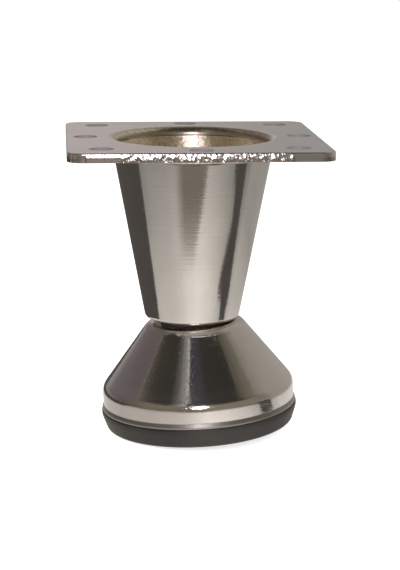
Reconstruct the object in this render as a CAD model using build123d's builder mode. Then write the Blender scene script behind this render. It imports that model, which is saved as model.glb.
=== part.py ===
"""Adjustable metal furniture leg.

A square screw plate carries a drawn steel cone, mouth up. A nut is welded on the cone's floor,
slightly out of true, and a wide drawn bell with a black pad hangs below it on a bolt. Turning the
bell screws it down or up to level the furniture. A rubber washer fills the wedge at the neck.

Units are millimetres and degrees. The pad's lowest point is at z = 0, the plate is centred on the
origin, and the foot leans so that its lower end goes towards +X.
"""

from build123d import *
from math import atan, cos, radians, sin, tan
import os

# Screw plate
plate_side = 85.0
plate_thickness = 3.0
plate_corner_radius = 5.0
plate_edge_rounding = 0.5
mouth_lip_radius = 2.7
screw_hole_diameter = 8.0
corner_hole_spacing = 63.0
side_hole_circle = 72.0

# Upper cone, a drawn cup that is open at the top
cone_top_radius = 27.2
cone_bottom_radius = 16.0
cone_height = 59.0
cone_wall = 1.5
cone_heel_radius = 1.8
plate_weld_leg = 3.2
weld_hollow = 1.4

# Screw joint at the neck
thread_radius = 5.0
thread_pitch = 1.5
running_clearance = 0.05
floor_hole_clearance = 0.6
hexagon_width = 17.0
nut_height = 8.0
nut_seat_gap = 0.2
nut_weld_height = 2.0
bolt_head_height = 6.4
bolt_length = 25.0
bolt_weld_height = 2.0
weld_toe_width = 1.8

# Lean of the foot, and the point where its axis crosses the cone's axis
foot_lean = 3.3
lean_pivot_depth = 49.0

# Neck washer
neck_clearance = 0.3
washer_radius = 11.5
washer_bore_clearance = 0.3
washer_seat_gap = 0.05

# Bell
bell_crown_radius = 15.95
bell_rim_radius = 33.0
bell_half_angle = 37.5
bell_height = 29.45
bell_wall = 1.5
crown_edge_radius = 4.5
shoulder_radius = 5.0
rim_lip_width = 0.45
rim_lip_height = 0.5
rim_lip_flare = 1.2
rim_lip_rounding = 0.8

# Foot pad
pad_height = 6.8
pad_overhang = 0.7
pad_foot_radius = 32.0
pad_side_height = 1.8
pad_top_rounding = 0.8
pad_side_rounding = 4.0
pad_bottom_rounding = 1.5
pad_base_thickness = 4.0
spigot_height = 5.0
spigot_wall = 2.2
spigot_fit = 0.1
rib_count = 6
rib_width = 2.0
rib_height = 3.0

# Sizes that follow from the ones above
lean = radians(foot_lean)
cone_angle = atan((cone_top_radius - cone_bottom_radius) / cone_height)
mouth_radius = cone_top_radius - cone_wall / cos(cone_angle)
cone_depth = plate_thickness + cone_height
crown_flat_radius = bell_crown_radius - crown_edge_radius * tan(radians(90 - bell_half_angle) / 2)
neck_gap = neck_clearance + crown_flat_radius * sin(lean)
crown_depth = cone_depth + neck_gap
foot_height = bell_height + pad_height

# Heights above the floor: the leaned pad stands on the lowest point of its rounded edge
pad_radius = bell_rim_radius + pad_overhang
pad_edge_turn = atan((pad_height - pad_side_height) / (pad_radius - pad_foot_radius))
pad_round_centre = pad_foot_radius - pad_bottom_rounding * tan(pad_edge_turn / 2)
pad_stand = (
    (foot_height - pad_bottom_rounding) * cos(lean)
    + pad_round_centre * sin(lean)
    + pad_bottom_rounding
)
plate_top = crown_depth + pad_stand
plate_bottom = plate_top - plate_thickness
cone_bottom = plate_top - cone_depth
floor_top = cone_bottom + cone_wall
crown_z = plate_top - crown_depth
pivot_z = plate_top - lean_pivot_depth


def foot_axis_x(height):
    """Sideways place of the foot's leaned axis at a height above the floor."""
    return (pivot_z - height) * tan(lean)


# The foot's own axis and planes: the side plane has its x outwards and its y up the axis
foot_up = Vector(-sin(lean), 0, cos(lean))
foot_out = Vector(cos(lean), 0, sin(lean))
crown_centre = Vector(foot_axis_x(crown_z), 0, crown_z)
foot_axis = Axis(crown_centre, foot_up)
foot_side = Plane(origin=crown_centre, x_dir=foot_out, z_dir=(0, -1, 0))
foot_plan = Plane(origin=crown_centre, x_dir=foot_out, z_dir=foot_up)

# Height of the nut along the foot's axis, with the low edge of its face just above the floor
hexagon_face_radius = 0.95 * hexagon_width / 2
hexagon_corner_radius = hexagon_width / 2 / cos(radians(30))
hexagon_chamfer_height = (hexagon_corner_radius - hexagon_face_radius) * tan(radians(30))
nut_seat = (neck_gap + cone_wall + nut_seat_gap + hexagon_face_radius * sin(lean)) / cos(lean)
thread_depth = 0.61 * thread_pitch


def hexagon_block(plan, side, axis, low, height):
    """A hexagon as tall as height on the axis, its corners cut at 30 degrees at both ends."""
    high = low + height
    with BuildPart() as block:
        with BuildSketch(plan.offset(low)):
            RegularPolygon(hexagon_width / 2, 6, major_radius=False)
        extrude(amount=height)
        with BuildSketch(side):
            with BuildLine():
                Polyline(
                    (0, low),
                    (hexagon_face_radius, low),
                    (hexagon_corner_radius, low + hexagon_chamfer_height),
                    (hexagon_corner_radius, high - hexagon_chamfer_height),
                    (hexagon_face_radius, high),
                    (0, high),
                    close=True,
                )
            make_face()
        revolve(axis=axis, mode=Mode.INTERSECT)
    return block.part


def bead_ring(side, axis, inner_radius, seat, height):
    """A weld bead round a hexagon, standing on a seat; a negative height hangs down from it."""
    crest_radius = hexagon_corner_radius + weld_toe_width / 3
    toe_radius = hexagon_corner_radius + weld_toe_width
    middle_radius = (crest_radius + toe_radius) / 2
    with BuildPart() as ring:
        with BuildSketch(side):
            with BuildLine():
                Polyline(
                    (toe_radius, seat),
                    (inner_radius, seat),
                    (inner_radius, seat + height),
                    (crest_radius, seat + height),
                )
                ThreePointArc(
                    (crest_radius, seat + height),
                    (middle_radius + weld_toe_width / 6, seat + height * 0.6),
                    (toe_radius, seat),
                )
            make_face()
        revolve(axis=axis)
    return ring.part


# Square plate punched from above, which rounds its upper edge, with a mouth whose lip rolls down
with BuildPart() as top_plate:
    with BuildSketch(Plane.XY.offset(plate_bottom)):
        RectangleRounded(plate_side, plate_side, plate_corner_radius)
        Circle(mouth_radius, mode=Mode.SUBTRACT)
    extrude(amount=plate_thickness)
    mouth_edge = top_plate.faces().sort_by(Axis.Z)[-1].inner_wires().edges()
    fillet(mouth_edge, mouth_lip_radius)
    fillet(top_plate.faces().sort_by(Axis.Z)[-1].outer_wire().edges(), plate_edge_rounding)
    with Locations(Plane.XY.offset(plate_top)):
        with GridLocations(corner_hole_spacing, corner_hole_spacing, 2, 2):
            Hole(screw_hole_diameter / 2, plate_thickness)
        with PolarLocations(side_hole_circle / 2, 4):
            Hole(screw_hole_diameter / 2, plate_thickness)

# Drawn cone: one wall and floor, with a hole in the floor where the leaned bolt passes
inner_bottom_radius = cone_bottom_radius + cone_wall * tan(cone_angle) - cone_wall / cos(cone_angle)
inner_heel_radius = max(cone_heel_radius - cone_wall, cone_wall / 5)
with BuildPart() as upper_cone:
    with BuildSketch(Plane.XZ):
        with BuildLine():
            outside = FilletPolyline(
                (cone_top_radius, plate_bottom),
                (cone_bottom_radius, cone_bottom),
                (0, cone_bottom),
                radius=cone_heel_radius,
            )
            inside = FilletPolyline(
                (mouth_radius, plate_bottom),
                (inner_bottom_radius, floor_top),
                (0, floor_top),
                radius=inner_heel_radius,
            )
            Line(outside @ 0, inside @ 0)
            Line(outside @ 1, inside @ 1)
        make_face()
    revolve(axis=Axis.Z)
    with BuildSketch(Plane.XY.offset(cone_bottom)):
        with Locations((foot_axis_x(cone_bottom + cone_wall / 2), 0)):
            Circle(thread_radius + floor_hole_clearance)
    extrude(amount=cone_wall, mode=Mode.SUBTRACT)

# Weld bead in the corner between the plate's underside and the cone, hollow in section
with BuildPart() as plate_weld:
    bead_foot_radius = cone_top_radius - plate_weld_leg * tan(cone_angle)
    with BuildSketch(Plane.XZ):
        with BuildLine():
            Polyline(
                (cone_top_radius + plate_weld_leg, plate_bottom),
                (cone_top_radius, plate_bottom),
                (bead_foot_radius, plate_bottom - plate_weld_leg),
            )
            RadiusArc(
                (bead_foot_radius, plate_bottom - plate_weld_leg),
                (cone_top_radius + plate_weld_leg, plate_bottom),
                plate_weld_leg * weld_hollow,
            )
        make_face()
    revolve(axis=Axis.Z)

# Nut on the cone's floor, square to the foot's leaned axis
nut_block = hexagon_block(foot_plan, foot_side, foot_axis, nut_seat, nut_height)
with BuildPart() as cone_nut:
    add(nut_block)
    with BuildSketch(foot_plan.offset(nut_seat)):
        Circle(thread_radius + running_clearance)
    extrude(amount=nut_height, mode=Mode.SUBTRACT)
    chamfer(cone_nut.edges().filter_by(GeomType.CIRCLE).sort_by(foot_axis)[-1], thread_depth / 2)

# Bead that holds the nut: it stands on the level floor and fills the wedge below the leaned nut
nut_x = foot_axis_x(floor_top)
with BuildPart() as nut_weld:
    nut_side = Plane(origin=(nut_x, 0, floor_top), x_dir=(1, 0, 0), z_dir=(0, -1, 0))
    nut_upright = Axis((nut_x, 0, floor_top), (0, 0, 1))
    add(bead_ring(nut_side, nut_upright, thread_radius + floor_hole_clearance, 0, nut_weld_height))
    add(nut_block, mode=Mode.SUBTRACT)
    with BuildSketch(foot_plan):
        Circle(thread_radius + floor_hole_clearance)
    extrude(amount=nut_seat + nut_height, mode=Mode.SUBTRACT)

# Rubber washer, squeezed to a wedge between the leaned crown and the level cone
with BuildPart() as neck_washer:
    with BuildSketch(foot_plan.offset(washer_seat_gap)):
        Circle(washer_radius)
        Circle(thread_radius + washer_bore_clearance, mode=Mode.SUBTRACT)
    extrude(amount=2 * neck_gap)
    split(bisect_by=Plane.XY.offset(cone_bottom - washer_seat_gap), keep=Keep.BOTTOM)

# Bolt with its head inside the bell and its shank up through the crown, washer, floor and nut
crown_inside = -bell_wall
head_block = hexagon_block(
    foot_plan, foot_side, foot_axis, crown_inside - bolt_head_height, bolt_head_height
)
with BuildPart() as foot_bolt:
    add(head_block)
    with BuildSketch(foot_plan.offset(crown_inside)):
        Circle(thread_radius)
    extrude(amount=bolt_length)
    chamfer(foot_bolt.edges().filter_by(GeomType.CIRCLE).sort_by(foot_axis)[-1], thread_depth)

# Bead round the bolt's head, under the crown
with BuildPart() as bolt_weld:
    add(bead_ring(foot_side, foot_axis, thread_radius, crown_inside, -bolt_weld_height))
    add(head_block, mode=Mode.SUBTRACT)

# Drawn bell: crown, cone, rounded shoulder and straight rim that flares to a small lip
bell_angle = radians(bell_half_angle)
shoulder_drop = (bell_rim_radius - bell_crown_radius) / tan(bell_angle)
inner_crown_radius = bell_crown_radius - bell_wall * (1 / cos(bell_angle) - tan(bell_angle))
inner_rim_radius = bell_rim_radius - bell_wall
inner_shoulder_drop = bell_wall + (inner_rim_radius - inner_crown_radius) / tan(bell_angle)
lip_radius = bell_rim_radius + rim_lip_width
lip_top = rim_lip_height - bell_height
with BuildPart() as foot_bell:
    with BuildSketch(foot_side):
        with BuildLine():
            outside = FilletPolyline(
                (thread_radius, 0),
                (bell_crown_radius, 0),
                (bell_rim_radius, -shoulder_drop),
                (bell_rim_radius, lip_top + rim_lip_flare),
                (lip_radius, lip_top),
                (lip_radius, -bell_height),
                radius=(crown_edge_radius, shoulder_radius, rim_lip_rounding, rim_lip_rounding),
            )
            inside = FilletPolyline(
                (thread_radius, -bell_wall),
                (inner_crown_radius, -bell_wall),
                (inner_rim_radius, -inner_shoulder_drop),
                (inner_rim_radius, -bell_height),
                radius=(crown_edge_radius - bell_wall, shoulder_radius - bell_wall),
            )
            Line(outside @ 0, inside @ 0)
            Line(outside @ 1, inside @ 1)
        make_face()
    revolve(axis=foot_axis)

# Moulded pad: base disc that overhangs the rim, spigot ring inside it, and ribs between
spigot_radius = inner_rim_radius - spigot_fit
pad_floor = -foot_height + pad_base_thickness
with BuildPart() as foot_pad:
    with BuildSketch(foot_side):
        with BuildLine():
            FilletPolyline(
                (0, -foot_height),
                (pad_foot_radius, -foot_height),
                (pad_radius, -bell_height - pad_side_height),
                (pad_radius, -bell_height),
                (spigot_radius, -bell_height),
                radius=(pad_bottom_rounding, pad_side_rounding, pad_top_rounding),
            )
            Polyline(
                (spigot_radius, -bell_height),
                (spigot_radius, -bell_height + spigot_height),
                (spigot_radius - spigot_wall, -bell_height + spigot_height),
                (spigot_radius - spigot_wall, pad_floor),
                (0, pad_floor),
                (0, -foot_height),
            )
        make_face()
    revolve(axis=foot_axis)
    with BuildSketch(foot_plan.offset(pad_floor)):
        with PolarLocations(0, rib_count):
            Rectangle(spigot_radius - spigot_wall / 2, rib_width, align=(Align.MIN, Align.CENTER))
    extrude(amount=rib_height)

pieces = {
    "top_plate": top_plate,
    "upper_cone": upper_cone,
    "plate_weld": plate_weld,
    "cone_nut": cone_nut,
    "nut_weld": nut_weld,
    "neck_washer": neck_washer,
    "foot_bolt": foot_bolt,
    "bolt_weld": bolt_weld,
    "foot_bell": foot_bell,
    "foot_pad": foot_pad,
}

os.makedirs("parts", exist_ok=True)
for name, piece in pieces.items():
    piece.part.label = name
    export_step(piece.part, f"parts/{name}.step")

pad_centre = crown_centre - foot_up * foot_height
print(f"plate top: z {plate_top:.3f}")
print(f"crown centre: x {crown_centre.X:.3f}, z {crown_centre.Z:.3f}")
print(f"pad centre: x {pad_centre.X:.3f}, z {pad_centre.Z:.3f}")
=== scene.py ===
# %% [markdown]
# Adjustable furniture leg, dressed for the picture
#
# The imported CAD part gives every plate, cone, nut and pad its true size and place. This notebook
# adds what the CAD solids leave out: the screw thread, the ripples of the plate's weld, the plated,
# plain, rubber and moulded finishes, and a small studio whose camera stands where the photograph's
# stood.

# %% Load the frame
from math import pi, radians

import bmesh
import bpy
from mathutils import Matrix, Vector


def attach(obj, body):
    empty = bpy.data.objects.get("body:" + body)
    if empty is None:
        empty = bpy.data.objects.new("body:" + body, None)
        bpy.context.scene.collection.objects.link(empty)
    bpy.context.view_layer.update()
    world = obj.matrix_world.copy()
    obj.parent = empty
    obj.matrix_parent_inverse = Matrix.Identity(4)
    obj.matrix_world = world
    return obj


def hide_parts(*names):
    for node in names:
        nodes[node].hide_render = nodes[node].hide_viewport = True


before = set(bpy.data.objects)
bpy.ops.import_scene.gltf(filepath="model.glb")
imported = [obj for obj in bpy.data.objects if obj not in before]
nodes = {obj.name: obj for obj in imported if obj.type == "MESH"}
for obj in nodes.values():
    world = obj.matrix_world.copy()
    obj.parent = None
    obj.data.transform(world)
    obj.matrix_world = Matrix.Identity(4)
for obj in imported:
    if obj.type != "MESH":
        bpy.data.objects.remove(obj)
scene = bpy.context.scene
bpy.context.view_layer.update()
print("CAD nodes:", sorted(nodes))

# %% [markdown]
# The camera stands a little left of the object and looks down on it by about twelve degrees. Its
# place, turn and lens come from matching the plate's corners and the rings of the leg in the
# photograph, so a long lens far away is used here and not a wide one close by.

# %% Camera
camera_place = Vector((-0.04425, -0.56019, 0.17176))
camera_right = Vector((0.996590, -0.082320, 0.005625))
camera_up = Vector((0.011974, 0.211744, 0.977252))
camera_back = camera_right.cross(camera_up)

camera_data = bpy.data.cameras.new("photo_camera")
camera_data.sensor_width = 36.0
camera_data.lens = 106.0
camera_data.clip_start = 0.01
camera = bpy.data.objects.new("photo_camera", camera_data)
turn = Matrix((camera_right, camera_up, camera_back)).transposed()
camera.matrix_world = Matrix.Translation(camera_place) @ turn.to_4x4()
scene.collection.objects.link(camera)
scene.camera = camera
scene.view_settings.view_transform = "Standard"
print("camera looks towards", [round(-x, 3) for x in camera_back])

# %% [markdown]
# Polished metal shows its surroundings and almost nothing of its own colour, so most of the look of
# this leg is made by what stands round it. Every material and the world are built from nodes, and
# small helpers keep that readable. They add a node, a maths node, a product, a colour ramp, a mix or
# a soft step. Three more are for directions round the leg: one finds the direction of a place on
# the table or in the room, and two bring degrees to the same measure.


# %% Helpers for node trees
def add_node(tree, kind, **settings):
    """Adds a shader node and sets its properties, or its sockets where the name is a socket."""
    made = tree.nodes.new(kind)
    for name, value in settings.items():
        if hasattr(made, name):
            setattr(made, name, value)
        else:
            made.inputs[name.replace("_", " ")].default_value = value
    return made


def maths(tree, operation, first, second=None, third=None, clamp=False):
    """A maths node whose inputs are numbers or other nodes' outputs."""
    made = tree.nodes.new("ShaderNodeMath")
    made.operation = operation
    made.use_clamp = clamp
    for socket, value in zip(made.inputs, (first, second, third)):
        if isinstance(value, bpy.types.NodeSocket):
            tree.links.new(value, socket)
        elif value is not None:
            socket.default_value = value
    return made.outputs[0]


def product(tree, *factors):
    """The product of two or more masks."""
    result = factors[0]
    for factor in factors[1:]:
        result = maths(tree, "MULTIPLY", result, factor)
    return result


def ramp(tree, source, stops, interpolation="EASE"):
    """A colour ramp; each stop is a place from 0 to 1 and a grey value or an (r, g, b) colour."""
    made = tree.nodes.new("ShaderNodeValToRGB")
    made.color_ramp.interpolation = interpolation
    elements = made.color_ramp.elements
    while len(elements) > 1:
        elements.remove(elements[-1])
    for index, (place, colour) in enumerate(stops):
        element = elements[0] if index == 0 else elements.new(place)
        element.position = place
        red, green, blue = (colour,) * 3 if isinstance(colour, (int, float)) else colour
        element.color = (red, green, blue, 1.0)
    tree.links.new(source, made.inputs["Fac"])
    return made.outputs["Color"]


def mix_colour(tree, factor, first, second, blend="MIX"):
    """Mixes two colours, each a node's output or an (r, g, b) colour."""
    made = tree.nodes.new("ShaderNodeMix")
    made.data_type = "RGBA"
    made.blend_type = blend
    for name, value in (("Factor_Float", factor), ("A_Color", first), ("B_Color", second)):
        socket = next(s for s in made.inputs if s.identifier == name)
        if isinstance(value, bpy.types.NodeSocket):
            tree.links.new(value, socket)
        elif name == "Factor_Float":
            socket.default_value = value
        else:
            socket.default_value = (*value, 1.0)
    return next(s for s in made.outputs if s.identifier == "Result_Color")


def step_up(tree, source, edge, softness):
    """0 below the edge and 1 above it, or the other way with a negative softness."""
    made = add_node(tree, "ShaderNodeMapRange", interpolation_type="SMOOTHSTEP")
    made.inputs["From Min"].default_value = edge - softness
    made.inputs["From Max"].default_value = edge + softness
    tree.links.new(source, made.inputs["Value"])
    return made.outputs["Result"]


def compass(tree, x, y):
    """Direction round the object as 0 to 1: a half is towards the front, and above it to the right."""
    angle = maths(tree, "ARCTAN2", x, maths(tree, "MULTIPLY", y, -1.0))
    return maths(tree, "MULTIPLY_ADD", angle, 1 / (2 * pi), 0.5)


def direction(degrees):
    """A direction in degrees, -180 to 180 with 0 in front, as the compass gives it."""
    return 0.5 + degrees / 360


def round_stops(stops):
    """Turns a ring's stops, given by degrees, into stops of a ramp over the compass."""
    return [(direction(degrees), colour) for degrees, colour in stops]


print("node helpers ready")

# %% [markdown]
# The room that the plating mirrors. The world is a picture made of three rings of colour: one high
# on the ceiling, one at the height of the walls and one near the horizon, with a dark ceiling in
# the middle above. Only reflections see it. The camera sees plain white, and matt surfaces get a
# plain even light, so the room colours the metal and nothing else. Each ring is a list of
# directions in degrees, with 0 in front and 90 on the right, and the colour seen there.

# %% Colours of the room
ceiling_ring = [
    (-180, (0.16, 0.14, 0.135)),
    (-103, (0.180, 0.150, 0.147)),
    (-100.5, (0.120, 0.110, 0.085)),
    (-98.5, (0.30, 0.285, 0.215)),
    (-95.5, (0.058, 0.052, 0.041)),
    (-54, (0.050, 0.044, 0.036)),
    (-46, (0.12, 0.11, 0.10)),
    (-36, (0.30, 0.28, 0.265)),
    (-27, (0.60, 0.56, 0.53)),
    (-24.5, (0.068, 0.064, 0.070)),
    (-6, (0.070, 0.066, 0.074)),
    (8, (0.048, 0.043, 0.038)),
    (59, (0.044, 0.041, 0.033)),
    (63, (0.135, 0.12, 0.088)),
    (80, (0.20, 0.178, 0.13)),
    (90, (0.33, 0.30, 0.26)),
    (106, (0.41, 0.375, 0.325)),
    (138, (0.43, 0.395, 0.345)),
    (152, (0.36, 0.33, 0.29)),
    (165, (0.21, 0.19, 0.185)),
    (180, (0.16, 0.14, 0.135)),
]
wall_ring = [
    (-180, (0.52, 0.46, 0.45)),
    (-165, (0.22, 0.19, 0.185)),
    (-105, (0.165, 0.138, 0.133)),
    (-90, (0.20, 0.17, 0.13)),
    (-70, (0.27, 0.235, 0.165)),
    (0, (0.28, 0.245, 0.175)),
    (60, (0.27, 0.235, 0.165)),
    (80, (0.25, 0.22, 0.16)),
    (100, (0.39, 0.36, 0.305)),
    (140, (0.45, 0.415, 0.36)),
    (166, (0.34, 0.32, 0.30)),
    (172, (0.38, 0.355, 0.335)),
    (180, (0.52, 0.46, 0.45)),
]
horizon_ring = [
    (-180, (0.55, 0.49, 0.48)),
    (-150, (0.35, 0.32, 0.31)),
    (-100, (0.15, 0.13, 0.12)),
    (-60, (0.28, 0.25, 0.19)),
    (60, (0.28, 0.25, 0.19)),
    (100, (0.40, 0.37, 0.33)),
    (150, (0.46, 0.43, 0.40)),
    (166, (0.35, 0.335, 0.31)),
    (172, (0.39, 0.365, 0.345)),
    (180, (0.55, 0.49, 0.48)),
]
zenith_colour = (0.055, 0.048, 0.040)
print("colours in each ring of the room:", len(ceiling_ring), len(wall_ring), len(horizon_ring))

# %% World
matt_light = 0.50
walls_rise = [(0.02, 0.0), (0.20, 1.0)]
ceiling_rise = [(0.50, 0.0), (0.70, 1.0)]
zenith_rise = [(0.87, 0.0), (0.93, 1.0)]

world = bpy.data.worlds.new("studio_room")
scene.world = world
world.use_nodes = True
room = world.node_tree
room.nodes.clear()
ray = add_node(room, "ShaderNodeTexCoord").outputs["Generated"]
axes = add_node(room, "ShaderNodeSeparateXYZ")
room.links.new(ray, axes.inputs[0])
place = compass(room, axes.outputs["X"], axes.outputs["Y"])
height = axes.outputs["Z"]
colours = ramp(room, place, round_stops(horizon_ring))
for ring, rise in ((wall_ring, walls_rise), (ceiling_ring, ceiling_rise)):
    colours = mix_colour(room, ramp(room, height, rise), colours, ramp(room, place, round_stops(ring)))
colours = mix_colour(room, ramp(room, height, zenith_rise), colours, zenith_colour)

path = add_node(room, "ShaderNodeLightPath")
mirrored = maths(room, "MAXIMUM", path.outputs["Is Glossy Ray"], path.outputs["Is Transmission Ray"])
colours = mix_colour(room, mirrored, (matt_light,) * 3, colours)
colours = mix_colour(room, path.outputs["Is Camera Ray"], colours, (1.0, 1.0, 1.0))
background = add_node(room, "ShaderNodeBackground", Strength=1.0)
room.links.new(colours, background.inputs["Color"])
world_out = add_node(room, "ShaderNodeOutputWorld")
room.links.new(background.outputs[0], world_out.inputs["Surface"])
print("world made of", len(room.nodes), "nodes")

# %% [markdown]
# The leg stands on a plain white table. The camera sees it white with the leg's faint shadow. The
# plating sees painted light glowing on it: white close to the foot and darker further away, with a
# painted dark patch to the left, a painted dark strip to the right and a painted shade in front:
# those give the cone its upright bands. The pattern is drawn in Object coordinates, by distance and
# direction from the leg. A picture of the table could do the same, but a few lists of stops are
# easier to move. A limit of the shade is a pair of numbers: where its soft step lies and how soft
# it is.

# %% Table top
table_side = 6.0
table_mesh = bpy.data.meshes.new("table_top")
shape = bmesh.new()
bmesh.ops.create_grid(shape, x_segments=1, y_segments=1, size=table_side / 2)
shape.to_mesh(table_mesh)
shape.free()
table_top = bpy.data.objects.new("table_top", table_mesh)
scene.collection.objects.link(table_top)
print("table top is", table_side, "m wide")

# %% Painted light that the plating sees, by distance and direction
table_reach = 0.40
back_from = -0.004
border_softness = 0.002
front_fade = [
    (0.15, 0.80),
    (0.21, 0.72),
    (0.265, 0.70),
    (0.295, 0.62),
    (0.355, 0.56),
    (0.42, 0.47),
    (0.49, 0.40),
    (0.65, 0.30),
    (1.0, 0.15),
]
back_fade = [
    (0.20, 0.84),
    (0.30, 0.66),
    (0.40, 0.56),
    (0.50, 0.43),
    (1.0, 0.40),
]
front_round = [
    (-180, 1.0),
    (-95, 0.88),
    (-75, 1.04),
    (-45, 1.10),
    (-25, 1.25),
    (-12, 1.47),
    (8, 1.60),
    (20, 1.50),
    (34, 1.32),
    (46, 1.12),
    (62, 0.86),
    (95, 1.0),
    (180, 1.0),
]

white_table = bpy.data.materials.new("white_table")
white_table.use_nodes = True
tree = white_table.node_tree
tree.nodes.clear()
spot = add_node(tree, "ShaderNodeTexCoord").outputs["Object"]
axes = add_node(tree, "ShaderNodeSeparateXYZ")
tree.links.new(spot, axes.inputs[0])
across = axes.outputs["X"]
along = axes.outputs["Y"]
bearing = compass(tree, across, along)
away = add_node(tree, "ShaderNodeVectorMath", operation="LENGTH")
tree.links.new(spot, away.inputs[0])
reach = away.outputs["Value"]
distance = maths(tree, "DIVIDE", reach, table_reach, clamp=True)
# Painted light: the table's white fades with distance and changes with direction, and only reflections see
# it.
by_distance = ramp(tree, distance, front_fade, "LINEAR")
by_direction = ramp(tree, bearing, round_stops(front_round), "LINEAR")
front = mix_colour(tree, 1.0, by_distance, by_direction, "MULTIPLY")
back = ramp(tree, distance, back_fade, "LINEAR")
behind = step_up(tree, along, back_from, border_softness)
seen = mix_colour(tree, behind, front, back)
print("table's white fades over", table_reach, "m")

# %% Soft shade in front of the leg
shade_colour = (0.245, 0.225, 0.20)
shade_centre = -0.190
shade_offset = 0.008
shade_half_width = 0.075
shade_half_length = 0.078
shade_taper = 0.80
shade_drift = 0.018
shade_left = (1.12, -0.40)
shade_right = (0.98, -0.07)
shade_tip = (0.95, -0.12)
shade_back = (-0.02, -0.002)
shade_away = [(0.26, 0.0), (0.30, 0.40), (0.34, 0.80), (0.42, 1.0)]

ahead = maths(tree, "DIVIDE", maths(tree, "SUBTRACT", along, shade_centre), shade_half_length)
ahead = maths(tree, "MAXIMUM", ahead, 0.0)
drift = maths(tree, "MULTIPLY_ADD", ahead, shade_drift, shade_offset)
aside = maths(tree, "DIVIDE", maths(tree, "ADD", across, drift), shade_half_width)
narrowed = maths(tree, "MULTIPLY", ahead, shade_taper)
shade = product(
    tree,
    step_up(tree, maths(tree, "SUBTRACT", narrowed, aside), *shade_left),
    step_up(tree, maths(tree, "ADD", narrowed, aside), *shade_right),
    ramp(tree, distance, shade_away),
    step_up(tree, ahead, *shade_tip),
    step_up(tree, along, *shade_back),
)
seen = mix_colour(tree, shade, seen, shade_colour)
print("shade lies", -shade_centre, "m in front of the leg")

# %% Painted dark reflections: a patch on the left and a strip on the right
dark_reflection_colour = (0.096, 0.092, 0.091)
table_tint = (1.0, 0.93, 0.855)
left_patch_gap = 0.078
left_patch_softness = 0.003
strip_gap = 0.077
strip_from = [
    (0.096, 61),
    (0.099, 49),
    (0.113, 53),
    (0.137, 59),
    (0.166, 66),
    (0.195, 64),
    (0.210, 59),
]
strip_to = [(0.096, 77), (0.100, 81)]
strip_softness = 0.006

# Painted reflection: a dark patch on the left and a dark strip on the right, which only the plating sees.
on_left = step_up(tree, across, 0.0, -border_softness)
left_dark_patch = product(tree, behind, on_left, step_up(tree, reach, left_patch_gap, left_patch_softness))
right_strip = step_up(tree, reach, strip_gap, border_softness)
for limits, softness in ((strip_from, strip_softness), (strip_to, -strip_softness)):
    stops = [(far / table_reach, direction(degrees)) for far, degrees in limits]
    limit = ramp(tree, distance, stops, "LINEAR")
    inside = step_up(tree, maths(tree, "SUBTRACT", bearing, limit), 0.0, softness)
    right_strip = product(tree, right_strip, inside)
seen = mix_colour(tree, maths(tree, "MAXIMUM", left_dark_patch, right_strip), seen, dark_reflection_colour)
seen = mix_colour(tree, 1.0, seen, table_tint, "MULTIPLY")
mirror_view = add_node(tree, "ShaderNodeEmission", Strength=1.0)
tree.links.new(seen, mirror_view.inputs["Color"])
print("table pattern made of", len(tree.nodes), "nodes")

# %% The white that the camera sees
paper_white = 0.80
paper_lift = 0.72
paper = add_node(tree, "ShaderNodeBsdfDiffuse", Color=(paper_white, paper_white, paper_white, 1.0))
lift = add_node(tree, "ShaderNodeEmission", Color=(1.0, 1.0, 1.0, 1.0))
path = add_node(tree, "ShaderNodeLightPath")
tree.links.new(maths(tree, "MULTIPLY", path.outputs["Is Camera Ray"], paper_lift), lift.inputs["Strength"])
lifted = add_node(tree, "ShaderNodeAddShader")
tree.links.new(paper.outputs[0], lifted.inputs[0])
tree.links.new(lift.outputs[0], lifted.inputs[1])
mirrored = maths(tree, "MAXIMUM", path.outputs["Is Glossy Ray"], path.outputs["Is Transmission Ray"])
chosen = add_node(tree, "ShaderNodeMixShader")
tree.links.new(mirrored, chosen.inputs["Fac"])
tree.links.new(lifted.outputs[0], chosen.inputs[1])
tree.links.new(mirror_view.outputs[0], chosen.inputs[2])
table_out = add_node(tree, "ShaderNodeOutputMaterial")
tree.links.new(chosen.outputs[0], table_out.inputs["Surface"])
table_mesh.materials.append(white_table)
print("table material has", len(tree.nodes), "nodes")

# %% [markdown]
# Two large soft lamps light the matt parts: the black pad, the rubber and the plain steel. They are
# hidden from reflections, because a lamp's square would show in the plating where the photograph
# has none.

# %% Soft lamps
lamp_list = [
    ("key_lamp", (-0.55, -0.75, 1.0), 0.9, 11.0),
    ("fill_lamp", (0.80, -0.35, 0.8), 0.9, 6.0),
]
for name, place, size, power in lamp_list:
    lamp_data = bpy.data.lights.new(name, "AREA")
    lamp_data.size = size
    lamp_data.energy = power
    lamp = bpy.data.objects.new(name, lamp_data)
    lamp.location = place
    lamp.rotation_euler = (-Vector(place)).to_track_quat("-Z", "Y").to_euler()
    lamp.visible_glossy = False
    scene.collection.objects.link(lamp)
print("lamps:", [row[0] for row in lamp_list])

# %% [markdown]
# The photograph was taken with a small flash just above the lens. It lights the object very little,
# but the plating mirrors it: as a white patch inside the mouth, a spot on the foot's shoulder, two
# dots at the neck and sparks along the plate's sheared edge. A small disc lamp in that place, which
# reflections may see, gives all of them at once.

# %% Flash above the lens
flash_height = 0.070
flash_width = 0.16
flash_power = 0.90
flash_aim = Vector((0.0, 0.0, 0.06))
flash_data = bpy.data.lights.new("lens_flash", "AREA")
flash_data.shape = "DISK"
flash_data.size = flash_width
flash_data.energy = flash_power
flash_data.color = (1.0, 0.90, 1.0)
flash = bpy.data.objects.new("lens_flash", flash_data)
flash.location = camera_place + camera_up * flash_height
flash.rotation_euler = (flash_aim - flash.location).to_track_quat("-Z", "Y").to_euler()
scene.collection.objects.link(flash)
print("flash stands at", [round(c, 3) for c in flash.location])

# %% [markdown]
# The foot leans by 3.3 degrees, so its pieces and the lines of its finish follow a leaned axis. The
# same few sizes as in the CAD source give that axis here, in metres.

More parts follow.
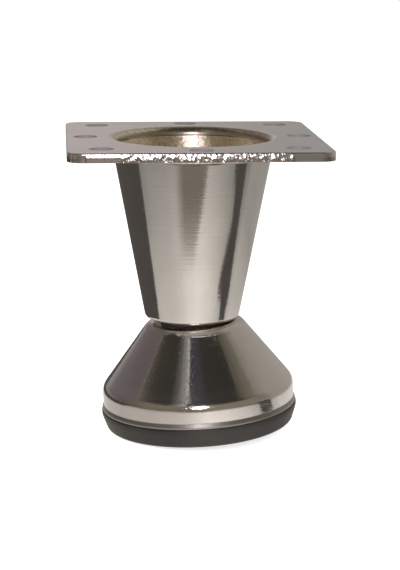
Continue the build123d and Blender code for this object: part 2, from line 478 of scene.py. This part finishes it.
# %% Axis of the foot
mm = 0.001
foot_lean = radians(3.3)
crown_centre = Vector((0.812, 0.0, 37.973)) * mm
foot_place = Matrix.Translation(crown_centre) @ Matrix.Rotation(-foot_lean, 4, "Y")
print("crown centre in mm", crown_centre / mm, "axis", foot_place.to_3x3() @ Vector((0.0, 0.0, 1.0)))

# %% [markdown]
# Bright plating over drawn and polished steel. The shader is a metal, and two things break its
# mirror: fine rings from polishing on a lathe, which are a noise squeezed along the axis, and a
# speckle in the thin plating. Both are small bumps, so the reflections stay sharp but their edges
# look grainy, as on the real leg. A broad third noise makes worn areas a little darker. The plate
# also gets a Bevel node, which rounds its sharp edges for the light without changing its mesh.


# %% Coordinates on the object's or the foot's axis
def axis_spot(tree, leaned):
    """Object coordinates, turned to stand on the foot's leaned axis where asked."""
    spot = add_node(tree, "ShaderNodeTexCoord").outputs["Object"]
    if not leaned:
        return spot
    upright = add_node(tree, "ShaderNodeMapping", vector_type="TEXTURE")
    upright.inputs["Location"].default_value = crown_centre
    upright.inputs["Rotation"].default_value = (0.0, -foot_lean, 0.0)
    tree.links.new(spot, upright.inputs["Vector"])
    return upright.outputs[0]


def noise_at(tree, spot, scale, detail, roughness=0.5):
    """A noise whose scale may differ along X, Y and Z."""
    stretched = add_node(tree, "ShaderNodeMapping")
    stretched.inputs["Scale"].default_value = scale
    tree.links.new(spot, stretched.inputs["Vector"])
    made = add_node(tree, "ShaderNodeTexNoise", Scale=1.0, Detail=detail, Roughness=roughness)
    tree.links.new(stretched.outputs[0], made.inputs["Vector"])
    return made.outputs["Fac"]


def bump_up(tree, height, depth, below=None):
    """A bump of the given depth in metres, laid over another normal where one is given."""
    made = add_node(tree, "ShaderNodeBump", Strength=1.0, Distance=depth)
    tree.links.new(height, made.inputs["Height"])
    if below is not None:
        tree.links.new(below, made.inputs["Normal"])
    return made.outputs[0]


print("axis helpers ready")


# %% Plated steel
ring_scale = (40.0, 40.0, 1500.0)
speckle_scale = (2100.0,) * 3
wear_scale = (90.0, 90.0, 60.0)
worn_share = 0.94
ring_roughness = 0.04
speckle_stops = [(0.56, 0.0), (0.78, 1.0)]
worn_below = 0.4
bright_above = 0.6
quarter_turn = 0.25


def plated_steel(name, leaned, colour, roughness, ring_depth, speckle_depth, stretch, rounding=0.0):
    """Bright plating with polishing rings and speckle; returns it with its tree and axis spot."""
    finish = bpy.data.materials.new(name)
    finish.use_nodes = True
    tree = finish.node_tree
    shader = tree.nodes["Principled BSDF"]
    shader.inputs["Metallic"].default_value = 1.0
    shader.inputs["Anisotropic"].default_value = stretch
    shader.inputs["Anisotropic Rotation"].default_value = quarter_turn
    spot = axis_spot(tree, leaned)
    rings = noise_at(tree, spot, ring_scale, detail=2.0)
    speckle = noise_at(tree, spot, speckle_scale, detail=1.0)
    wear = noise_at(tree, spot, wear_scale, detail=4.0)
    darker = tuple(worn_share * c for c in colour)
    worn = ramp(tree, wear, [(worn_below, darker), (bright_above, colour)])
    tree.links.new(worn, shader.inputs["Base Color"])
    rough = maths(tree, "MULTIPLY_ADD", rings, ring_roughness, roughness - ring_roughness / 2)
    tree.links.new(rough, shader.inputs["Roughness"])
    normal = None
    if rounding:
        normal = add_node(tree, "ShaderNodeBevel", samples=4, Radius=rounding).outputs[0]
    normal = bump_up(tree, ramp(tree, speckle, speckle_stops, "LINEAR"), speckle_depth, normal)
    if ring_depth:
        normal = bump_up(tree, rings, ring_depth, normal)
    tree.links.new(normal, shader.inputs["Normal"])
    return finish, tree, shader, spot


cone_plating, cone_tree, cone_shader, cone_spot = plated_steel(
    "cone_plating",
    leaned=False,
    colour=(0.66, 0.65, 0.63),
    roughness=0.09,
    ring_depth=14e-6,
    speckle_depth=6e-6,
    stretch=0.6,
)
bell_plating, bell_tree, bell_shader, bell_spot = plated_steel(
    "bell_plating",
    leaned=True,
    colour=(0.66, 0.65, 0.64),
    roughness=0.05,
    ring_depth=2e-6,
    speckle_depth=13e-6,
    stretch=0.3,
)
plate_plating, plate_tree, plate_shader, plate_spot = plated_steel(
    "plate_plating",
    leaned=False,
    colour=(0.66, 0.64, 0.62),
    roughness=0.16,
    ring_depth=0.0,
    speckle_depth=7e-6,
    stretch=0.0,
    rounding=0.4 * mm,
)
print("plated finishes:", cone_plating.name, bell_plating.name, plate_plating.name)


# %% Helpers that change part of a finish
def blend_in(tree, shader, mask, colour, roughness):
    """Mixes another colour and roughness into a finish where the mask is 1."""
    first = shader.inputs["Base Color"].links[0].from_socket
    tree.links.new(mix_colour(tree, mask, first, colour), shader.inputs["Base Color"])
    first = shader.inputs["Roughness"].links[0].from_socket
    change = maths(tree, "SUBTRACT", roughness, first)
    tree.links.new(maths(tree, "MULTIPLY_ADD", change, mask, first), shader.inputs["Roughness"])


def lay_over(tree, shader, height, depth):
    """Lays a bump over the surface that a finish already has."""
    below = shader.inputs["Normal"].links[0].from_socket
    tree.links.new(bump_up(tree, height, depth, below), shader.inputs["Normal"])


def round_and_height(tree, spot):
    """Distance from the axis, and the three coordinates."""
    parts = add_node(tree, "ShaderNodeSeparateXYZ")
    tree.links.new(spot, parts.inputs[0])
    squares = [maths(tree, "MULTIPLY", parts.outputs[k], parts.outputs[k]) for k in ("X", "Y")]
    return maths(tree, "SQRT", maths(tree, "ADD", *squares)), parts.outputs


print("helpers for parts of a finish ready")

# %% [markdown]
# Inside the mouth the plating is thin: it was drawn, welded and dipped but never polished, so it is
# rougher than the outside. Its golden colour is painted light, standing in for the warm light that
# bounces between the inner walls. One material covers the whole cone, so a mask tells the inner wall
# from the outer one by its distance from the axis at each height. The plate's lip round the mouth
# gets the same painted golden light, and a painted shade where it turns down into the cone.

# %% Rough inside of the cone and the mouth's lip, with painted golden light and painted shade
cone_narrowing = 11.2 * mm
cone_height = 59.0 * mm
cone_slope = cone_narrowing / cone_height
wall_middle = 7.82 * mm
lip_outer_radius = 28.2 * mm
lip_turn = 99.7 * mm
weld_top = 97.9 * mm
# gold and dark_gold are painted light: the warm tint of light that bounces inside the mouth.
gold = (0.86, 0.78, 0.64)
dark_gold = (0.62, 0.55, 0.43)
lip_shade_colour = (0.40, 0.36, 0.29)
gold_stops = [(0.35, dark_gold), (0.65, gold)]
mottle_scale = (900.0,) * 3
mottle_roughness = 0.16


def golden(tree, shader, spot, mask, roughness, lumps):
    """Paints golden light, mottled, into a finish and makes it lumpy where the mask is 1."""
    mottle = noise_at(tree, spot, mottle_scale, detail=3.0, roughness=0.65)
    colour = ramp(tree, mottle, gold_stops)
    grain = maths(tree, "MULTIPLY_ADD", mottle, mottle_roughness, roughness - mottle_roughness / 2)
    blend_in(tree, shader, mask, colour, grain)
    lay_over(tree, shader, product(tree, mottle, mask), lumps)


distance_out, place = round_and_height(cone_tree, cone_spot)
straightened = maths(cone_tree, "MULTIPLY_ADD", place["Z"], -cone_slope, distance_out)
inner_wall = step_up(cone_tree, straightened, wall_middle, softness=-0.1 * mm)
# Painted light: the golden colour on the cone's inner wall.
golden(cone_tree, cone_shader, cone_spot, inner_wall, roughness=0.34, lumps=130e-6)
distance_out, place = round_and_height(plate_tree, plate_spot)
mouth_lip = product(
    plate_tree,
    step_up(plate_tree, distance_out, lip_outer_radius, softness=-0.6 * mm),
    step_up(plate_tree, place["Z"], weld_top, softness=0.1 * mm),
)
# Painted light: the plate's lip round the mouth gets the same painted golden light.
golden(plate_tree, plate_shader, plate_spot, mouth_lip, roughness=0.19, lumps=20e-6)
# Painted shade: the lip is darker where it turns down into the cone.
below_turn = step_up(plate_tree, place["Z"], lip_turn, softness=-0.5 * mm)
lip_shade_mask = product(plate_tree, mouth_lip, below_turn)
blend_in(plate_tree, plate_shader, lip_shade_mask, lip_shade_colour, roughness=0.30)
print("golden finish mixed into", cone_plating.name, "and", plate_plating.name)

# %% [markdown]
# The foot's rim was pressed last, so it is slightly dented, and the reflections in it wobble. The
# rounded shoulder over it is a little duller than the cone, the rim's left side is painted darker, a
# painted shade, with a little more roughness, and the lip under it was rolled and never polished.
# All of them are masks by height, and the left side by X as well, in the foot's own leaned
# coordinates, so one material covers the whole bell and no seam shows.

# %% Dented rim, shoulder and rolled lip of the foot
shoulder_top = -18.0 * mm
shoulder_end = -23.2 * mm
rim_top = -22.0 * mm
lip_top = -27.65 * mm
left_shade_from = -3.0 * mm
dent_scale = (240.0, 240.0, 90.0)
dent_depth = 50e-6
shoulder_colour = (0.66, 0.65, 0.64)
left_shade_colour = (0.48, 0.465, 0.45)
lip_colour = (0.29, 0.28, 0.27)
lip_share = 0.9

distance_out, place = round_and_height(bell_tree, bell_spot)
rim = step_up(bell_tree, place["Z"], rim_top, softness=-2.0 * mm)
dents = noise_at(bell_tree, bell_spot, dent_scale, detail=1.0)
lay_over(bell_tree, bell_shader, product(bell_tree, dents, rim), dent_depth)
shoulder = product(
    bell_tree,
    step_up(bell_tree, place["Z"], shoulder_top, softness=-1.0 * mm),
    step_up(bell_tree, place["Z"], shoulder_end, softness=0.5 * mm),
)
blend_in(bell_tree, bell_shader, shoulder, shoulder_colour, roughness=0.13)
# Painted shade: the rim's left side is darker.
left_side = step_up(bell_tree, place["X"], left_shade_from, softness=-5.0 * mm)
left_shade = product(bell_tree, rim, left_side)
blend_in(bell_tree, bell_shader, left_shade, left_shade_colour, roughness=0.09)
lip = step_up(bell_tree, place["Z"], lip_top, softness=-0.3 * mm)
blend_in(bell_tree, bell_shader, product(bell_tree, lip, lip_share), lip_colour, roughness=0.45)
print("rim starts", rim_top / mm, "mm under the crown")

# %% [markdown]
# At the front of the neck the crown's rounded edge has a painted highlight: a small grainy patch,
# lighter and rougher than the plating, that looks bright beside the dark reflections round it. Its
# lower border is ragged, which a noise added to the height before the step gives.

# %% Painted highlight on the front of the crown's edge
highlight_below = -1.3 * mm
highlight_middle = 3.2 * mm
highlight_half_width = 6.8 * mm
highlight_front = -8.0 * mm
highlight_grain_depth = 110e-6
highlight_raggedness = 1.6 * mm
highlight_colour = (0.70, 0.68, 0.66)
grit_scale = (1300.0,) * 3

grit = noise_at(bell_tree, bell_spot, grit_scale, detail=3.0, roughness=0.6)
ragged = maths(bell_tree, "MULTIPLY_ADD", grit, highlight_raggedness, place["Z"])
off_middle = maths(bell_tree, "ABSOLUTE", maths(bell_tree, "SUBTRACT", place["X"], highlight_middle))
highlighted = product(
    bell_tree,
    step_up(bell_tree, ragged, highlight_below, softness=0.25 * mm),
    step_up(bell_tree, off_middle, highlight_half_width, softness=-1.0 * mm),
    step_up(bell_tree, place["Y"], highlight_front, softness=-2.0 * mm),
)
# Painted highlight: a lighter, rougher, grainy patch at the front of the crown's edge.
blend_in(bell_tree, bell_shader, highlighted, highlight_colour, roughness=0.22)
lay_over(bell_tree, bell_shader, product(bell_tree, grit, highlighted), highlight_grain_depth)
print("crown's edge is scuffed over", round(2 * highlight_half_width / mm, 1), "mm")

# %% [markdown]
# The plate was sheared from a sheet. The upper part of its edge was pressed smooth and leans back a
# little, so it catches the flash as a bright line, and over most of its length it is torn in slanted
# chunks, which sparkle. Below it the edge is dull, and so are the punched walls of the screw holes.
# Cutting each chunk would take thousands of faces for a relief of a tenth of a millimetre. So a
# noise and a cell pattern give the height in metres, and a bump turns it into light and shade.

# %% Where the plate's edge is
plate_top = 101.063 * mm
outer_from = 41.0 * mm
front_from = 42.0 * mm
upright_below = 0.55

tree = plate_tree
distance_out, place = round_and_height(tree, plate_spot)
across_size = maths(tree, "ABSOLUTE", place["X"])
along_size = maths(tree, "ABSOLUTE", place["Y"])
below_top = maths(tree, "SUBTRACT", plate_top, place["Z"])
facing = add_node(tree, "ShaderNodeNewGeometry").outputs["True Normal"]
facing_parts = add_node(tree, "ShaderNodeSeparateXYZ")
tree.links.new(facing, facing_parts.inputs[0])
flatness = maths(tree, "ABSOLUTE", facing_parts.outputs["Z"])
upright = step_up(tree, flatness, upright_below, softness=-0.2)
farther = maths(tree, "MAXIMUM", across_size, along_size)
outer = step_up(tree, farther, outer_from, softness=0.3 * mm)
edge = product(tree, upright, outer)
print("edge is what stands upright more than", outer_from / mm, "mm from the middle")

# %% Sheared edge of the plate
bright_from = -36.5 * mm
torn_from = -25.5 * mm
torn_to = 28.5 * mm
edge_lean = 0.195
tear_turn = radians(32)
tear_scale = (620.0, 620.0, 260.0)
tear_depth = 5.0 * mm
tear_middle = 0.46
chunk_cells = 800.0
chunk_depth = 0.11 * mm
land_start = 0.40 * mm
land_depth = 0.85 * mm
end_softness = 0.3 * mm

slanted = add_node(tree, "ShaderNodeMapping")
slanted.inputs["Rotation"].default_value = (0.0, tear_turn, 0.0)
tree.links.new(plate_spot, slanted.inputs["Vector"])
tears = noise_at(tree, slanted.outputs[0], tear_scale, detail=2.0)
cells = add_node(tree, "ShaderNodeTexVoronoi", Scale=chunk_cells, Randomness=1.0)
tree.links.new(slanted.outputs[0], cells.inputs["Vector"])

run = product(tree, place["X"], step_up(tree, along_size, front_from, softness=0.2 * mm))
before_end = step_up(tree, run, torn_to, softness=-0.5 * mm)
torn = product(tree, step_up(tree, run, torn_from, end_softness), before_end)
bright_run = product(tree, step_up(tree, run, bright_from, end_softness), before_end)
land_end = maths(tree, "MULTIPLY", maths(tree, "SUBTRACT", tears, tear_middle), tear_depth)
land_end = maths(tree, "MULTIPLY_ADD", land_end, torn, land_depth)
pressed = maths(tree, "MAXIMUM", maths(tree, "SUBTRACT", below_top, land_start), 0.0)
pressed = maths(tree, "MULTIPLY", maths(tree, "MINIMUM", pressed, land_end), edge_lean)
chunks = product(tree, cells.outputs["Distance"], chunk_depth, torn)
relief = product(tree, maths(tree, "ADD", pressed, chunks), edge, bright_run)
lay_over(tree, plate_shader, relief, 1.0)
print("sheared edge is torn over", round((torn_to - torn_from) / mm, 1), "mm of its front and back")

# %% Dull lower half of the edge and punched walls of the screw holes
dull_below = 1.7 * mm
dull_share = 0.8
edge_colour = (0.42, 0.39, 0.34)
hole_colour = (0.27, 0.25, 0.245)
holes_from = 29.5 * mm
lost_metal = -0.6

lower_half = step_up(tree, below_top, dull_below, softness=0.4 * mm)
dull_part = product(tree, edge, lower_half, dull_share)
blend_in(tree, plate_shader, dull_part, edge_colour, roughness=0.30)
inside_edge = product(tree, upright, maths(tree, "SUBTRACT", 1.0, outer))
outside_mouth = step_up(tree, distance_out, holes_from, softness=0.3 * mm)
hole_wall = product(tree, inside_edge, outside_mouth)
blend_in(tree, plate_shader, hole_wall, hole_colour, roughness=0.6)
less_metal = maths(tree, "MULTIPLY_ADD", hole_wall, lost_metal, 1.0)
tree.links.new(less_metal, plate_shader.inputs["Metallic"])
print("hole walls are dull; the plate's finish has", len(tree.nodes), "nodes")

# %% [markdown]
# The parts that aren't polished need no special pattern. Each is one plain colour that a cloud
# pattern mottles, with a fine grain that breaks up its shine and its surface. One function makes
# all four, because only their colours, sizes of grain and depths differ.


# %% A plain finish with a fine grain
grain_roughness = 0.2
grains_a_cloud = 20
cloud_low = 0.3
cloud_high = 0.7


def plain_finish(name, colour, metallic, roughness, grain_scale, grain_depth, spread):
    """A plain finish with a fine grain in its colour, roughness and surface."""
    finish = bpy.data.materials.new(name)
    finish.use_nodes = True
    tree = finish.node_tree
    shader = tree.nodes["Principled BSDF"]
    shader.inputs["Metallic"].default_value = metallic
    spot = add_node(tree, "ShaderNodeTexCoord").outputs["Object"]
    grain = add_node(tree, "ShaderNodeTexNoise", Scale=grain_scale, Detail=4.0, Roughness=0.6)
    tree.links.new(spot, grain.inputs["Vector"])
    cloud = add_node(tree, "ShaderNodeTexNoise", Scale=grain_scale / grains_a_cloud, Detail=3.0)
    tree.links.new(spot, cloud.inputs["Vector"])
    low = tuple(c * (1 - spread) for c in colour)
    high = tuple(c * (1 + spread) for c in colour)
    mottled = ramp(tree, cloud.outputs["Fac"], [(cloud_low, low), (cloud_high, high)])
    tree.links.new(mottled, shader.inputs["Base Color"])
    base = roughness - grain_roughness / 2
    rough = maths(tree, "MULTIPLY_ADD", grain.outputs["Fac"], grain_roughness, base)
    tree.links.new(rough, shader.inputs["Roughness"])
    tree.links.new(bump_up(tree, grain.outputs["Fac"], grain_depth), shader.inputs["Normal"])
    return finish


print("one helper makes every plain finish")

# %% Plain steel of the screw and of its welds
bare_steel = plain_finish(
    "bare_steel",
    colour=(0.50, 0.48, 0.45),
    metallic=1.0,
    roughness=0.36,
    grain_scale=1500.0,
    grain_depth=10e-6,
    spread=0.12,
)
weld_steel = plain_finish(
    "weld_steel",
    colour=(0.36, 0.33, 0.30),
    metallic=1.0,
    roughness=0.42,
    grain_scale=900.0,
    grain_depth=40e-6,
    spread=0.30,
)
print("plain steel finishes:", bare_steel.name, weld_steel.name)

# %% Rubber of the washer and moulded plastic of the pad
neck_rubber = plain_finish(
    "neck_rubber",
    colour=(0.095, 0.090, 0.074),
    metallic=0.0,
    roughness=0.70,
    grain_scale=1200.0,
    grain_depth=12e-6,
    spread=0.15,
)
pad_plastic = plain_finish(
    "pad_plastic",
    colour=(0.016, 0.0145, 0.0122),
    metallic=0.0,
    roughness=0.50,
    grain_scale=1400.0,
    grain_depth=14e-6,
    spread=0.40,
)
print("black finishes:", neck_rubber.name, pad_plastic.name)

# %% Give each CAD node its finish
finish_of = {
    "top_plate": plate_plating,
    "upper_cone": cone_plating,
    "plate_weld": plate_plating,
    "cone_nut": bare_steel,
    "nut_weld": weld_steel,
    "neck_washer": neck_rubber,
    "foot_bolt": bare_steel,
    "bolt_weld": weld_steel,
    "foot_bell": bell_plating,
    "foot_pad": pad_plastic,
}
for name, finish in finish_of.items():
    nodes[name].data.materials.clear()
    nodes[name].data.materials.append(finish)
print("finishes given to", len(finish_of), "CAD nodes")

# %% [markdown]
# The screw is the working part of this leg: turning the foot drives the thread through the nut, and
# when the foot is screwed down the thread shows at the neck. A thread is one small profile, a crest
# with two flanks, carried round the axis while it climbs by one pitch a turn. The spin operator does
# exactly that when it is given a step along the axis. A spiral curve with a profile could do it too,
# but its ends are hard to close. Here two planes cut the helix to length, and the cut outlines are
# filled. All of it is made upright at the origin, where the numbers are easy to read.

# %% Thread of the bolt
thread_pitch = 1.5 * mm
thread_root = 4.085 * mm
thread_crest = 5.0 * mm
crest_half_width = 0.09 * mm
flank_half_width = 0.56 * mm
steps_a_turn = 36
spare_turns = 3
shank_from = -1.5 * mm
shank_to = 22.6 * mm
turns = round((shank_to - shank_from) / thread_pitch) + spare_turns

shape = bmesh.new()
middle = thread_pitch / 2
profile = [
    (thread_root, 0.0),
    (thread_root, middle - flank_half_width),
    (thread_crest, middle - crest_half_width),
    (thread_crest, middle + crest_half_width),
    (thread_root, middle + flank_half_width),
    (thread_root, thread_pitch),
]
start = shank_from - thread_pitch
corners = [shape.verts.new((out, 0.0, start + up)) for out, up in profile]
lines = [shape.edges.new(pair) for pair in zip(corners, corners[1:])]
bmesh.ops.spin(
    shape,
    geom=corners + lines,
    cent=(0.0, 0.0, 0.0),
    axis=(0.0, 0.0, 1.0),
    dvec=(0.0, 0.0, thread_pitch / steps_a_turn),
    angle=2 * pi * turns,
    steps=steps_a_turn * turns,
)
bmesh.ops.remove_doubles(shape, verts=shape.verts[:], dist=1e-6)
print("thread is spun over", turns, "turns")

# %% Cut the thread to length
for height, side in ((shank_from, -1.0), (shank_to, 1.0)):
    cut = bmesh.ops.bisect_plane(
        shape,
        geom=shape.verts[:] + shape.edges[:] + shape.faces[:],
        plane_co=(0.0, 0.0, height),
        plane_no=(0.0, 0.0, side),
        clear_outer=True,
    )
    outline = [item for item in cut["geom_cut"] if isinstance(item, bmesh.types.BMEdge)]
    bmesh.ops.holes_fill(shape, edges=outline)
print("thread is cut to", round((shank_to - shank_from) / mm, 1), "mm")

# %% [markdown]
# The bolt's tip is a short cone, so that it finds its way into the nut. The head is a prism with six
# sides, which is a cone operator with equal radii, and its edges are bevelled a little because a
# forged head has no sharp edge. Then the whole bolt is turned and moved to the foot's leaned axis.

# %% Tip and head of the bolt
tip_height = 0.9 * mm
tip_chamfer = 0.25 * mm
tip_segments = 48
head_from = -7.9 * mm
head_corner = 9.815 * mm
head_bevel = 0.35 * mm

bmesh.ops.create_cone(
    shape,
    cap_ends=True,
    segments=tip_segments,
    radius1=thread_crest - tip_chamfer,
    radius2=thread_root,
    depth=tip_height,
    matrix=Matrix.Translation((0.0, 0.0, shank_to + tip_height / 2)),
)
head_place = Matrix.Translation((0.0, 0.0, (shank_from + head_from) / 2)) @ Matrix.Rotation(pi / 6, 4, "Z")
head = bmesh.ops.create_cone(
    shape,
    cap_ends=True,
    segments=6,
    radius1=head_corner,
    radius2=head_corner,
    depth=shank_from - head_from,
    matrix=head_place,
)
head_edges = list({edge for corner in head["verts"] for edge in corner.link_edges})
bmesh.ops.bevel(
    shape,
    geom=head_edges,
    affect="EDGES",
    offset=head_bevel,
    segments=2,
    profile=0.5,
    material=-1,
)
print("head is", round(2 * head_corner / mm, 1), "mm over its corners")

# %% Put the bolt in its place
bmesh.ops.recalc_face_normals(shape, faces=shape.faces[:])
bmesh.ops.transform(shape, matrix=foot_place, verts=shape.verts[:])
bolt_mesh = bpy.data.meshes.new("threaded_bolt")
shape.to_mesh(bolt_mesh)
shape.free()
bolt_mesh.materials.append(bare_steel)
threaded_bolt = bpy.data.objects.new("threaded_bolt", bolt_mesh)
scene.collection.objects.link(threaded_bolt)
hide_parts("foot_bolt")
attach(threaded_bolt, "foot")
print("threaded bolt has", len(bolt_mesh.polygons), "faces")

# %% [markdown]
# The bead that joins plate and cone was laid as a row of small drops, each frozen over the last one.
# The CAD bead is smooth, so a ring of balls half sunk in it gives the ripples. Each ball is the same
# sphere, made a little longer along the weld and turned round the axis. A wavy sweep could give the
# same bead, but balls need no more than their size and their number.

# %% Ripples on the plate's weld
ripple_count = 84
ripple_across = 1.45 * mm
ripple_along = 1.90 * mm
ripple_out = 27.55 * mm
ripple_drop = 3.95 * mm
shape = bmesh.new()
ball_size = Matrix.Diagonal((ripple_across, ripple_along, ripple_across, 1.0))
for index in range(ripple_count):
    turn_by = Matrix.Rotation(2 * pi * index / ripple_count, 4, "Z")
    ripple_place = turn_by @ Matrix.Translation((ripple_out, 0.0, plate_top - ripple_drop))
    ball = ripple_place @ ball_size
    bmesh.ops.create_uvsphere(shape, u_segments=16, v_segments=10, radius=1.0, matrix=ball)
ripple_mesh = bpy.data.meshes.new("weld_ripples")
shape.to_mesh(ripple_mesh)
shape.free()
ripple_mesh.materials.append(plate_plating)
for face in ripple_mesh.polygons:
    face.use_smooth = True
weld_ripples = bpy.data.objects.new("weld_ripples", ripple_mesh)
scene.collection.objects.link(weld_ripples)
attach(weld_ripples, "leg")
print("weld has", ripple_count, "ripples")
